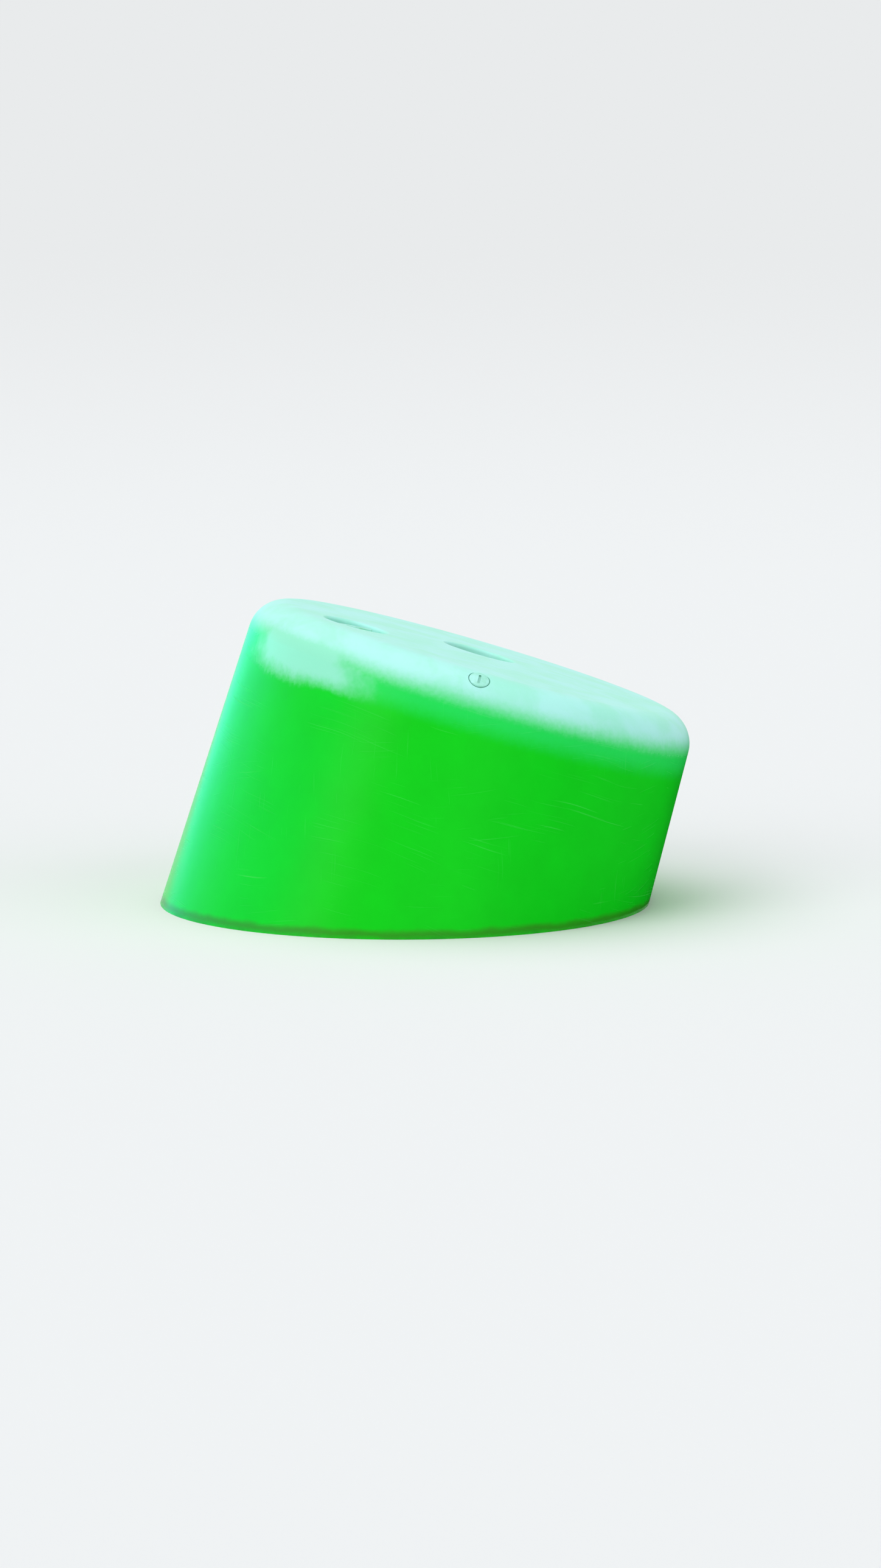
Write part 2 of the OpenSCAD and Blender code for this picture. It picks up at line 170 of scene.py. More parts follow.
def chalkSheenMask(tree, look, upright, xyz, raggedBy):
    # Chalk and painted sky sheen: 1 on the top and the upper shoulder, with a ragged lower edge
    outFrom, depth = depthInPits(tree, xyz)
    ragged = addNode(tree, "ShaderNodeMath", {0: raggedBy, 1: look["ragged"]},
                     operation="MULTIPLY")
    height = addNode(tree, "ShaderNodeMath", {0: xyz.outputs["Z"], 1: ragged}, operation="ADD")
    crown = hull["crown"] + look["ragged"] / 2
    top = addNode(tree, "ShaderNodeMapRange",
                  {"Value": height, "From Min": crown + look["chalkSheenFrom"],
                   "From Max": crown + look["chalkSheenTo"], "To Max": look["chalkSheenTop"]},
                  interpolation_type="SMOOTHSTEP")
    # painted light in the pits: pale down to their floors, less of it deeper in
    pits = addNode(tree, "ShaderNodeMapRange",
                   {"Value": outFrom, "From Min": look["insideRadius"] + look["insideEdge"],
                    "From Max": look["insideRadius"] - look["insideEdge"]})
    thinning = addNode(tree, "ShaderNodeMapRange",
                       {"Value": depth, "From Min": look["pitLightTo"],
                        "From Max": look["pitLightFrom"], "To Min": look["pitLight"],
                        "To Max": look["chalkSheenTop"]})
    shallow = addNode(tree, "ShaderNodeMath", {0: depth, 1: look["pitDepth"]},
                      operation="LESS_THAN")
    for factor in (thinning, shallow):
        pits = addNode(tree, "ShaderNodeMath", {0: pits, 1: factor}, operation="MULTIPLY")
    mask = addNode(tree, "ShaderNodeMath", {0: top, 1: pits}, operation="MAXIMUM")
    # the chalk and painted sheen lie unevenly, in patches
    patches = addNode(tree, "ShaderNodeTexNoise",
                      {"Vector": upright, "Scale": 1 / look["chalkSheenPatch"], "Detail": 5,
                       "Roughness": 0.62, "Distortion": 0.4})
    uneven = addNode(tree, "ShaderNodeMapRange",
                   {"Value": patches, "From Min": 0.34, "From Max": 0.62,
                    "To Min": look["chalkSheenThin"]}, interpolation_type="SMOOTHSTEP")
    mask = addNode(tree, "ShaderNodeMath", {0: mask, 1: uneven}, operation="MULTIPLY")
    return mask, height, outFrom, depth


# Rotomoulded polyethylene: glossy and soft edged, with orange peel from the mould, slow waves
# from cooling, the scratches of a buoy that lies against others, and a painted patch of glare
hullFinish = {
    "green": "#00DC14",
    "deepGreen": "#00CC10",
    "mottle": 55 * mm,  # width of one cloud of the two greens
    "grain": 6 * mm,  # width of the specks that make edges ragged
    "sheenFringeGreen": "#3CFF96",  # paler green where the painted sheen fades out, under the chalk's edge
    "fadeFrom": -84 * mm,
    "fadeTo": -54 * mm,
    "sheenFringeStrength": 0.30,
    "peel": 3.2 * mm,  # width of one orange-peel cell
    "peelDepth": 0.12 * mm,
    "sinkMark": 90 * mm,  # width of one slow wave left by cooling
    "sinkDepth": 1.6 * mm,
    "leastRough": 0.26, "mostRough": 0.42,  # clean, and dulled under the chalk, painted sheen and painted glare, scratches or film
    # painted highlight: a pale patch of glare on the shoulder
    "glarePatch": {
        "middle": 209, "halfWidth": 19,  # degrees round the axis
        "raggedSides": 0.40, "softSides": (0.10, -0.14),  # radians round the axis
        "low": -84 * mm, "raggedFoot": 26 * mm, "softFoot": (8 * mm, 34 * mm),
        "strength": 0.68,
    },
    "scratches": {
        "tint": "#8FF0A8", "strength": 0.10,
        "width": 2.4 * mm,  # of one cell of the pattern, which gives a line a third as wide
        "softEdge": 0.08,
        "bend": 160 * mm, "bendBy": 30 * mm,
        "cluster": 130 * mm, "clusterFrom": 0.50, "clusterTo": 0.62,
        # turn in radians, stretch along the line, how few there are, and place of the clusters
        "runs": ((0.04, 0.012, 0.63, 0.0), (-0.32, 0.016, 0.65, 3.0), (1.25, 0.022, 0.66, 7.0)),
    },
}


def paintedGlare(tree, patch, angle, height, mottle):
    # Painted highlight: a pale window of angle and height with ragged edges
    away = addNode(tree, "ShaderNodeMath", {0: angle, 1: math.radians(patch["middle"] - 360)},
                   operation="SUBTRACT")
    away = addNode(tree, "ShaderNodeMath", {0: away}, operation="ABSOLUTE")
    ragged = addNode(tree, "ShaderNodeMath", {0: mottle, 1: patch["raggedSides"]},
                     operation="MULTIPLY")
    away = addNode(tree, "ShaderNodeMath", {0: away, 1: ragged}, operation="ADD")
    side = math.radians(patch["halfWidth"]) + patch["raggedSides"] / 2
    outer, inner = patch["softSides"]
    glare = addNode(tree, "ShaderNodeMapRange",
                  {"Value": away, "From Min": side + outer, "From Max": side + inner},
                  interpolation_type="SMOOTHSTEP")
    ragged = addNode(tree, "ShaderNodeMath", {0: mottle, 1: patch["raggedFoot"]},
                     operation="MULTIPLY")
    ragged = addNode(tree, "ShaderNodeMath", {0: height, 1: ragged}, operation="ADD")
    low = hull["crown"] + patch["low"]
    foot, full = patch["softFoot"]
    down = addNode(tree, "ShaderNodeMapRange",
                   {"Value": ragged, "From Min": low + foot, "From Max": low + full},
                   interpolation_type="SMOOTHSTEP")
    for factor in (down, patch["strength"]):
        glare = addNode(tree, "ShaderNodeMath", {0: glare, 1: factor}, operation="MULTIPLY")
    return glare


def scratchLines(tree, look, angle, xyz):
    # Clusters of long fine lines, most of them round the hull
    around = addNode(tree, "ShaderNodeMath", {0: angle, 1: hull["radius"]}, operation="MULTIPLY")
    unrolled = addNode(tree, "ShaderNodeCombineXYZ", {"X": around, "Y": xyz.outputs["Z"]})
    bend = addNode(tree, "ShaderNodeTexNoise",
                   {"Vector": unrolled, "Scale": 1 / look["bend"], "Detail": 1})
    bend = addNode(tree, "ShaderNodeVectorMath",
                   {0: bend.outputs["Color"], 1: (look["bendBy"], look["bendBy"], 0)},
                   operation="MULTIPLY")
    bent = addNode(tree, "ShaderNodeVectorMath", {0: unrolled, 1: bend}, operation="ADD")
    scratch = None
    for turn, stretch, few, shift in look["runs"]:
        line = addNode(tree, "ShaderNodeVectorRotate", {"Vector": bent, "Angle": turn},
                       rotation_type="Z_AXIS")
        line = addNode(tree, "ShaderNodeVectorMath", {0: line, 1: (stretch, 1, 1)},
                       operation="MULTIPLY")
        line = addNode(tree, "ShaderNodeTexNoise",
                       {"Vector": line, "Scale": 1 / look["width"], "Detail": 2,
                        "Roughness": 0.6})
        line = addNode(tree, "ShaderNodeMapRange",
                       {"Value": line, "From Min": few, "From Max": few + look["softEdge"]})
        cluster = addNode(tree, "ShaderNodeVectorMath", {0: unrolled, 1: (shift, shift, 0)},
                          operation="ADD")
        cluster = addNode(tree, "ShaderNodeTexNoise",
                          {"Vector": cluster, "Scale": 1 / look["cluster"], "Detail": 1})
        cluster = addNode(tree, "ShaderNodeMapRange",
                          {"Value": cluster, "From Min": look["clusterFrom"],
                           "From Max": look["clusterTo"]}, interpolation_type="SMOOTHSTEP")
        line = addNode(tree, "ShaderNodeMath", {0: line, 1: cluster}, operation="MULTIPLY")
        if scratch:
            line = addNode(tree, "ShaderNodeMath", {0: scratch, 1: line}, operation="MAXIMUM")
        scratch = line
    return scratch


def waterMarks(tree, weatherAndLight, place, upright, mottle):
    # A film below z = 0, and a darker line of slime at the surface
    wave = addNode(tree, "ShaderNodeMath", {0: mottle, 1: weatherAndLight["wave"]}, operation="MULTIPLY")
    worldXyz = addNode(tree, "ShaderNodeSeparateXYZ", {"Vector": place})
    height = addNode(tree, "ShaderNodeMath", {0: worldXyz.outputs["Z"], 1: wave},
                     operation="SUBTRACT")
    film = addNode(tree, "ShaderNodeMapRange",
                   {"Value": height, "From Min": weatherAndLight["filmFrom"],
                    "From Max": weatherAndLight["filmTo"], "To Max": weatherAndLight["filmStrength"]},
                   interpolation_type="SMOOTHSTEP")
    clumps = addNode(tree, "ShaderNodeTexNoise",
                     {"Vector": upright, "Scale": 1 / weatherAndLight["filmClump"], "Detail": 6,
                      "Roughness": 0.66})
    patchy = addNode(tree, "ShaderNodeMapRange",
                     {"Value": clumps, "From Min": 0.38, "From Max": 0.64, "To Min": 0.12},
                     interpolation_type="SMOOTHSTEP")
    film = addNode(tree, "ShaderNodeMath", {0: film, 1: patchy}, operation="MULTIPLY")
    offWater = addNode(tree, "ShaderNodeMath", {0: height}, operation="ABSOLUTE")
    slime = addNode(tree, "ShaderNodeMapRange",
                    {"Value": offWater, "From Min": weatherAndLight["slimeBand"], "From Max": 0.0,
                     "To Max": weatherAndLight["slimeStrength"]}, interpolation_type="SMOOTHSTEP")
    return film, slime


def rotomouldedPolyethylene(look, weatherAndLight):
    material, tree = newMaterial("rotomoulded_polyethylene")
    place, upright, xyz = uprightPlace(tree)
    mottle = addNode(tree, "ShaderNodeTexNoise",
                     {"Vector": upright, "Scale": 1 / look["mottle"], "Detail": 4,
                      "Roughness": 0.55})
    grain = addNode(tree, "ShaderNodeTexNoise",
                    {"Vector": upright, "Scale": 1 / look["grain"], "Detail": 5,
                     "Roughness": 0.6})
    chalkSheen, height, outFrom, depth = chalkSheenMask(tree, weatherAndLight, upright, xyz, grain)
    # painted sheen fading out in a band under the chalk
    sheenFringe = addNode(tree, "ShaderNodeMapRange",
                     {"Value": height, "From Min": hull["crown"] + look["fadeFrom"],
                      "From Max": hull["crown"] + look["fadeTo"],
                      "To Max": look["sheenFringeStrength"]}, interpolation_type="SMOOTHSTEP")
    angle = addNode(tree, "ShaderNodeMath", {0: xyz.outputs["Y"], 1: xyz.outputs["X"]},
                    operation="ARCTAN2")
    glare = paintedGlare(tree, look["glarePatch"], angle, height, mottle)
    pale = addNode(tree, "ShaderNodeMath", {0: chalkSheen, 1: glare}, operation="MAXIMUM")
    scratch = scratchLines(tree, look["scratches"], angle, xyz)
    tint = addNode(tree, "ShaderNodeMath", {0: scratch, 1: look["scratches"]["strength"]},
                   operation="MULTIPLY")
    film, slime = waterMarks(tree, weatherAndLight, place, upright, mottle)

    # painted shade low in the pits, darker deeper down, in blotches
    paintedShade = addNode(tree, "ShaderNodeMapRange",
                    {"Value": depth, "From Min": weatherAndLight["shadeFrom"],
                     "From Max": weatherAndLight["shadeTo"], "To Max": weatherAndLight["shadeStrength"]},
                    interpolation_type="SMOOTHSTEP")
    inPit = addNode(tree, "ShaderNodeMath", {0: outFrom, 1: weatherAndLight["insideRadius"]},
                    operation="LESS_THAN")
    shallow = addNode(tree, "ShaderNodeMath", {0: depth, 1: weatherAndLight["pitDepth"]},
                      operation="LESS_THAN")
    blotch = addNode(tree, "ShaderNodeMapRange",
                     {"Value": grain, "From Min": 0.36, "From Max": 0.64, "To Min": 0.25})
    for factor in (inPit, shallow, blotch):
        paintedShade = addNode(tree, "ShaderNodeMath", {0: paintedShade, 1: factor}, operation="MULTIPLY")

    dull = pale
    for mask in (film, scratch):
        dull = addNode(tree, "ShaderNodeMath", {0: dull, 1: mask}, operation="MAXIMUM")
    rough = addNode(tree, "ShaderNodeMapRange",
                    {"Value": dull, "To Min": look["leastRough"], "To Max": look["mostRough"]})

    # orange peel over slow cooling waves
    peel = addNode(tree, "ShaderNodeTexNoise",
                   {"Vector": upright, "Scale": 1 / look["peel"], "Detail": 1,
                    "Roughness": 0.4})
    sink = addNode(tree, "ShaderNodeTexNoise",
                   {"Vector": upright, "Scale": 1 / look["sinkMark"], "Detail": 1})
    sinkBump = addNode(tree, "ShaderNodeBump",
                       {"Height": sink, "Strength": 0.5, "Distance": look["sinkDepth"]})
    peelBump = addNode(tree, "ShaderNodeBump",
                       {"Height": peel, "Strength": 0.22, "Distance": look["peelDepth"],
                        "Normal": sinkBump})
    coats = [(mottle, linear(look["deepGreen"])), (sheenFringe, linear(look["sheenFringeGreen"])),
             (pale, linear(weatherAndLight["chalkSheen"])), (tint, linear(look["scratches"]["tint"])),
             (film, linear(weatherAndLight["film"])), (slime, linear(weatherAndLight["slime"])),
             (paintedShade, linear(weatherAndLight["paintedShade"]))]
    finishMaterial(tree, linear(look["green"]), coats,
                   {"IOR": 1.5, "Specular IOR Level": 0.16, "Roughness": rough,
                    "Normal": peelBump})
    return material


# Injection-moulded polyethylene of the filler cap and the plug: satin, with the mould's fine
# spark texture, a darker green under the chalk and painted sheen, and painted shade in the corners
capFinish = {
    "green": "#12B62A",
    "mottle": 14 * mm,
    "leastChalkSheen": 0.62, "mostChalkSheen": 0.98,  # share of the chalk and painted sheen that its patches leave
    "leastRough": 0.36, "mostRough": 0.52,
    "corner": 5 * mm,  # how far a corner reaches out
    "cornerShade": 0.5,
    "spark": 0.9 * mm,  # one grain of the texture, coarser than the real 0.2 mm so that it shows
    "sparkDepth": 0.1 * mm,
}


def mouldedPolyethylene(look, weatherAndLight):
    material, tree = newMaterial("moulded_polyethylene")
    upright, xyz = uprightPlace(tree)[1:]
    mottle = addNode(tree, "ShaderNodeTexNoise",
                     {"Vector": upright, "Scale": 1 / look["mottle"], "Detail": 4,
                      "Roughness": 0.6})
    chalkSheen = chalkSheenMask(tree, weatherAndLight, upright, xyz, mottle)[0]
    uneven = addNode(tree, "ShaderNodeMapRange",
                   {"Value": mottle, "From Min": 0.30, "From Max": 0.66,
                    "To Min": look["leastChalkSheen"], "To Max": look["mostChalkSheen"]})
    pale = addNode(tree, "ShaderNodeMath", {0: chalkSheen, 1: uneven}, operation="MULTIPLY")
    # painted shade where the surface is hemmed in, from an occlusion node
    openness = addNode(tree, "ShaderNodeAmbientOcclusion", {"Distance": look["corner"]},
                       samples=4)
    paintedShade = addNode(tree, "ShaderNodeMapRange",
                    {"Value": openness.outputs["AO"], "From Min": 0.75, "From Max": 0.35,
                     "To Max": look["cornerShade"]})
    spark = addNode(tree, "ShaderNodeTexNoise",
                    {"Vector": upright, "Scale": 1 / look["spark"], "Detail": 2,
                     "Roughness": 0.7})
    rough = addNode(tree, "ShaderNodeMapRange",
                    {"Value": mottle, "To Min": look["leastRough"], "To Max": look["mostRough"]})
    bump = addNode(tree, "ShaderNodeBump",
                   {"Height": spark, "Strength": 0.25, "Distance": look["sparkDepth"]})
    coats = [(pale, linear(weatherAndLight["chalkSheen"])), (paintedShade, linear(weatherAndLight["paintedShade"]))]
    finishMaterial(tree, linear(look["green"]), coats,
                   {"IOR": 1.5, "Specular IOR Level": 0.3, "Roughness": rough, "Normal": bump})
    return material


# Hot-dip galvanised steel: dull zinc with crystal spangle, white bloom where it stays wet and
# a few rust specks where the zinc is thin
zincFinish = {
    "zinc": "#A7ACAE",
    "paleZinc": "#C3C7C7",
    "bloom": "#DDE0DB",
    "rust": "#8A4A22",
    "rustDeep": "#54290F",
    "spangle": 11 * mm,  # width of one zinc crystal
    "warp": 9 * mm, "warpBy": 4 * mm,  # of the crystals' edges
    "cloud": 18 * mm,  # width of one cloud of bloom
    "bloomStrength": 0.8,
    "dipDepth": 0.4 * mm,
    "speck": 5 * mm,  # width of one speck of rust
    "pitDepth": 0.15 * mm,
    "leastRough": 0.36, "mostRough": 0.52,  # of bare zinc, from crystal to crystal
    "coveredRough": 0.85,  # where bloom or rust lies on it
    "bareMetal": 0.85, "coveredMetal": 0.05,
}


def galvanisedSteel(look):
    material, tree = newMaterial("hot_dip_galvanised_steel")
    place = addNode(tree, "ShaderNodeTexCoord").outputs["Object"]
    warp = addNode(tree, "ShaderNodeTexNoise",
                   {"Vector": place, "Scale": 1 / look["warp"], "Detail": 2})
    warp = addNode(tree, "ShaderNodeVectorMath",
                   {0: warp.outputs["Color"], 1: (look["warpBy"],) * 3}, operation="MULTIPLY")
    warped = addNode(tree, "ShaderNodeVectorMath", {0: place, 1: warp}, operation="ADD")
    crystal = addNode(tree, "ShaderNodeTexVoronoi",
                      {"Vector": warped, "Scale": 1 / look["spangle"]})
    tone = addNode(tree, "ShaderNodeSeparateXYZ", {"Vector": crystal.outputs["Color"]})
    cloud = addNode(tree, "ShaderNodeTexNoise",
                    {"Vector": place, "Scale": 1 / look["cloud"], "Detail": 6,
                     "Roughness": 0.65})
    bloom = addNode(tree, "ShaderNodeMapRange",
                    {"Value": cloud, "From Min": 0.50, "From Max": 0.66,
                     "To Max": look["bloomStrength"]}, interpolation_type="SMOOTHSTEP")
    speck = addNode(tree, "ShaderNodeTexNoise",
                    {"Vector": warped, "Scale": 1 / look["speck"], "Detail": 5,
                     "Roughness": 0.7})
    rust = addNode(tree, "ShaderNodeMapRange",
                   {"Value": speck, "From Min": 0.62, "From Max": 0.69})
    rustTone = addNode(tree, "ShaderNodeMix",
                       {mixFactor: cloud, mixFirst: linear(look["rust"]),
                        mixSecond: linear(look["rustDeep"])}, data_type="RGBA")
    covered = addNode(tree, "ShaderNodeMath", {0: bloom, 1: rust}, operation="MAXIMUM")
    metal = addNode(tree, "ShaderNodeMapRange",
                    {"Value": covered, "To Min": look["bareMetal"],
                     "To Max": look["coveredMetal"]})
    bareRough = addNode(tree, "ShaderNodeMapRange",
                        {"Value": tone.outputs["Y"], "To Min": look["leastRough"],
                         "To Max": look["mostRough"]})
    rough = addNode(tree, "ShaderNodeMapRange",
                    {"Value": covered, "To Min": bareRough, "To Max": look["coveredRough"]})
    dip = addNode(tree, "ShaderNodeBump",
                  {"Height": cloud, "Strength": 0.35, "Distance": look["dipDepth"]})
    pits = addNode(tree, "ShaderNodeBump",
                   {"Height": speck, "Strength": 0.4, "Distance": look["pitDepth"],
                    "Normal": dip})
    coats = [(tone.outputs["X"], linear(look["paleZinc"])), (bloom, linear(look["bloom"])),
             (rust, rustTone.outputs[mixResult])]
    finishMaterial(tree, linear(look["zinc"]), coats,
                   {"Metallic": metal, "Roughness": rough, "Normal": pits})
    return material


# Cast bronze, dull brown-gold with verdigris where water sits
bronzeFinish = {
    "bronze": "#8A6C3E",
    "brown": "#5A4426",
    "grain": 1.2 * mm,
    "grainDepth": 0.1 * mm,
    "verdigris": "#5F9680",
    "cloud": 7 * mm,  # width of one cloud of verdigris
    "verdigrisStrength": 0.85,
    "bareRough": 0.38, "greenRough": 0.8,
    "bareMetal": 0.9, "greenMetal": 0.0,
}


def dullBronze(look):
    material, tree = newMaterial("cast_bronze")
    place = addNode(tree, "ShaderNodeTexCoord").outputs["Object"]
    cloud = addNode(tree, "ShaderNodeTexNoise",
                    {"Vector": place, "Scale": 1 / look["cloud"], "Detail": 5,
                     "Roughness": 0.6})
    grain = addNode(tree, "ShaderNodeTexNoise",
                    {"Vector": place, "Scale": 1 / look["grain"], "Detail": 3})
    green = addNode(tree, "ShaderNodeMapRange",
                    {"Value": cloud, "From Min": 0.54, "From Max": 0.64,
                     "To Max": look["verdigrisStrength"]}, interpolation_type="SMOOTHSTEP")
    metal = addNode(tree, "ShaderNodeMapRange",
                    {"Value": green, "To Min": look["bareMetal"], "To Max": look["greenMetal"]})
    rough = addNode(tree, "ShaderNodeMapRange",
                    {"Value": green, "To Min": look["bareRough"], "To Max": look["greenRough"]})
    bump = addNode(tree, "ShaderNodeBump",
                   {"Height": grain, "Strength": 0.3, "Distance": look["grainDepth"]})
    coats = [(grain, linear(look["brown"])), (green, linear(look["verdigris"]))]
    finishMaterial(tree, linear(look["bronze"]), coats,
                   {"Metallic": metal, "Roughness": rough, "Normal": bump})
    return material


# Neoprene sheet, matt black with a grey bloom and the press's fine linen mark
rubberFinish = {
    "black": "#1A1B1C",
    "bloom": "#4A4C4C",
    "cloud": 16 * mm,  # width of one cloud of bloom
    "bloomStrength": 0.7,
    "leastRough": 0.58, "mostRough": 0.85,
    "linen": 1.4 * mm,
    "linenDepth": 0.12 * mm,
}


def neopreneSheet(look):
    material, tree = newMaterial("neoprene_sheet")
    place = addNode(tree, "ShaderNodeTexCoord").outputs["Object"]
    cloud = addNode(tree, "ShaderNodeTexNoise",
                    {"Vector": place, "Scale": 1 / look["cloud"], "Detail": 5,
                     "Roughness": 0.6})
    bloom = addNode(tree, "ShaderNodeMapRange",
                    {"Value": cloud, "From Min": 0.42, "From Max": 0.70,
                     "To Max": look["bloomStrength"]})
    rough = addNode(tree, "ShaderNodeMapRange",
                    {"Value": cloud, "To Min": look["leastRough"], "To Max": look["mostRough"]})
    linen = addNode(tree, "ShaderNodeTexVoronoi", {"Vector": place, "Scale": 1 / look["linen"]})
    bump = addNode(tree, "ShaderNodeBump",
                   {"Height": linen.outputs["Distance"], "Strength": 0.25,
                    "Distance": look["linenDepth"]})
    finishMaterial(tree, linear(look["black"]), [(bloom, linear(look["bloom"]))],
                   {"IOR": 1.52, "Roughness": rough, "Normal": bump})
    return material


capPlastic = mouldedPolyethylene(capFinish, sunWaterAndLight)
zinc = galvanisedSteel(zincFinish)
dress(["hull"], rotomouldedPolyethylene(hullFinish, sunWaterAndLight))
dress(["top_plate", "top_nut", "through_bar", "base_plate", "base_nut", "castle_nut",
       "swivel_link", "shackle_bow", "shackle_pin", "shackle_nut"], zinc)
dress(["upper_wear_washer", "lower_wear_washer", "bar_split_pin", "shackle_split_pin"],
      dullBronze(bronzeFinish))
dress(["filler_seal", "top_pad", "base_pad"], neopreneSheet(rubberFinish))
print("materials on the packed solids")


def addObject(name, data):
    thing = bpy.data.objects.new(name, data)
    bpy.context.scene.collection.objects.link(thing)
    return thing


def hullSeat(turn, out, up, tilt):
    # Frame of a piece on the hull: turned round the axis, set out and up, tilted outwards
    return (leanOver @ Matrix.Rotation(math.radians(turn), 4, "Z")
            @ Matrix.Translation((out, 0, up)) @ Matrix.Rotation(tilt, 4, "Y"))


def addPiece(name, mesh, material, body, replaced=None, sharpAt=32):
    # Makes a finished mesh a piece of one body
    mesh.name = name
    for polygon in mesh.polygons:
        polygon.use_smooth = True
    mesh.set_sharp_from_angle(angle=math.radians(sharpAt))
    if not mesh.materials:
        mesh.materials.append(material)
    piece = addObject(name, mesh)
    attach(piece, body)
    if replaced:
        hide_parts(replaced)


def roundedCorners(corners, steps=5):
    # Line through (x, y, radius) corners, each corner with a radius made an arc
    line = []
    for i, (x, y, radius) in enumerate(corners):
        here = Vector((x, y))
        if not radius:
            line.append(here)
            continue
        before = (Vector(corners[i - 1][:2]) - here).normalized()
        after = (Vector(corners[i + 1][:2]) - here).normalized()
        half = before.angle(after) / 2
        centre = here + (before + after).normalized() * radius / math.sin(half)
        first = here + before * radius / math.tan(half) - centre
        last = here + after * radius / math.tan(half) - centre
        sweep = first.angle_signed(last)
        for step in range(steps + 1):
            line.append(centre + Matrix.Rotation(-sweep * step / steps, 2) @ first)
    return line


def turnedMesh(profile, sides):
    # Solid of revolution: profile of (radius, height) from the axis round to the axis
    onAxis = 1e-7
    shape = bmesh.new()
    rings = []
    for point in profile:
        turns = [0] if point.x < onAxis else [math.tau * i / sides for i in range(sides)]
        rings.append([shape.verts.new((point.x * math.cos(turn), point.x * math.sin(turn),
                                       point.y)) for turn in turns])
    for low, high in zip(rings, rings[1:]):
        for i in range(sides):
            j = (i + 1) % sides
            corners = [low[i % len(low)], low[j % len(low)], high[j % len(high)],
                       high[i % len(high)]]
            shape.faces.new(list(dict.fromkeys(corners)))
    bmesh.ops.recalc_face_normals(shape, faces=shape.faces)
    return shape


def barMesh(length, width, height, draft, edge, foot):
    # Moulded bar with half-round ends: drafted sides, a rounded top edge, its foot at z = foot
    endSteps, edgeSteps = 14, 5
    levels = [(0, foot)]
    for step in range(edgeSteps + 1):
        turn = math.radians(90 * step / edgeSteps)
        levels.append((draft + edge * (1 - math.cos(turn)),
                       foot + height - edge * (1 - math.sin(turn))))
    shape = bmesh.new()
    rings = []
    for inset, z in levels:
        r = width / 2 - inset
        ring = []
        for side in (1, -1):
            for step in range(endSteps + 1):
                turn = math.radians(-90 + 180 * step / endSteps)
                ring.append(shape.verts.new((side * (length / 2 - width / 2 + r * math.cos(turn)),
                                             side * r * math.sin(turn), z)))
        rings.append(ring)
    for low, high in zip(rings, rings[1:]):
        for i in range(len(low)):
            j = (i + 1) % len(low)
            shape.faces.new((low[i], low[j], high[j], high[i]))
    shape.faces.new(rings[-1])
    shape.faces.new(list(reversed(rings[0])))
    bmesh.ops.recalc_face_normals(shape, faces=shape.faces)
    return shape


def toMesh(shape, name):
    mesh = bpy.data.meshes.new(name)
    shape.to_mesh(mesh)
    shape.free()
    return mesh


def grownMesh(name, tree, values):
    # Evaluates one Geometry Nodes tree on an empty mesh and keeps the result as a plain mesh
    carrier = addObject(name, bpy.data.meshes.new(name))
    grower = carrier.modifiers.new("grow", "NODES")
    grower.node_group = tree
    for item in tree.interface.items_tree:
        if item.in_out == "INPUT" and item.name in values:
            grower[item.identifier] = values[item.name]
    seen = bpy.context.evaluated_depsgraph_get()
    mesh = bpy.data.meshes.new_from_object(carrier.evaluated_get(seen))
    carrier.modifiers.remove(grower)
    bpy.data.objects.remove(carrier)
    return mesh


def newGrower(name, inputs):
    tree = bpy.data.node_groups.new(name, "GeometryNodeTree")
    for inputName, kind in inputs.items():
        tree.interface.new_socket(name=inputName, in_out="INPUT", socket_type="NodeSocket" + kind)
    tree.interface.new_socket(name="Geometry", in_out="OUTPUT", socket_type="NodeSocketGeometry")
    return tree, addNode(tree, "NodeGroupInput").outputs


def finishGrower(tree, grown, material):
    # Instances made real and given their material, since the export drops instances
    solid = addNode(tree, "GeometryNodeRealizeInstances", {"Geometry": grown})
    dressed = addNode(tree, "GeometryNodeSetMaterial", {"Geometry": solid, "Material": material})
    addNode(tree, "NodeGroupOutput", {"Geometry": dressed})
    return tree


# Filler cap: a turned flange with a dished top, moulded ribs round its rim and a grip bar
fillerCap = {
    "turn": 200, "out": 196 * mm,  # of its axis on the crown
    "radius": 35 * mm, "foot": -12 * mm, "thickness": 6 * mm,
    "shankRadius": 24 * mm, "shankEnd": -40 * mm,
    "dish": 0.9 * mm, "dishOuter": 31 * mm, "dishInner": 9 * mm,
    "dishWall": 1 * mm,  # how far its wall slopes in
    "boss": {"slope": 2 * mm, "rise": 0.4 * mm, "middle": 0.5 * mm},  # swell under the grip
    "rounds": {"shank": 1.5 * mm, "foot": 0.6 * mm, "rim": 1.6 * mm, "dish": 0.5 * mm,
               "boss": 1 * mm},
    "grip": (52 * mm, 11 * mm, 4.6 * mm),
    "gripDraft": 0.7 * mm, "gripRound": 1.4 * mm, "gripSunk": 0.2 * mm,
    "ribs": 36, "ribSize": (0.8 * mm, 1.5 * mm, 2.3 * mm),  # radial, round the rim, up
    "sides": 96,
}


def ribTree():
    tree, given = newGrower("rim_ribs", {"Count": "Int", "Radius": "Float", "Height": "Float",
                                         "Rib Size": "Vector", "Finish": "Material"})
    ring = addNode(tree, "GeometryNodeMeshCircle",
                   {"Vertices": given["Count"], "Radius": given["Radius"]})
    rib = addNode(tree, "GeometryNodeMeshUVSphere", {"Segments": 12, "Rings": 8, "Radius": 1.0})
    outwards = addNode(tree, "FunctionNodeAlignRotationToVector",
                       {"Vector": addNode(tree, "GeometryNodeInputPosition")},
                       axis="X", pivot_axis="Z")
    ribs = addNode(tree, "GeometryNodeInstanceOnPoints",
                   {"Points": ring, "Instance": rib, "Rotation": outwards,
                    "Scale": given["Rib Size"]})
    up = addNode(tree, "ShaderNodeCombineXYZ", {"Z": given["Height"]})
    raised = addNode(tree, "GeometryNodeTransform", {"Geometry": ribs, "Translation": up})
    return finishGrower(tree, raised, given["Finish"])


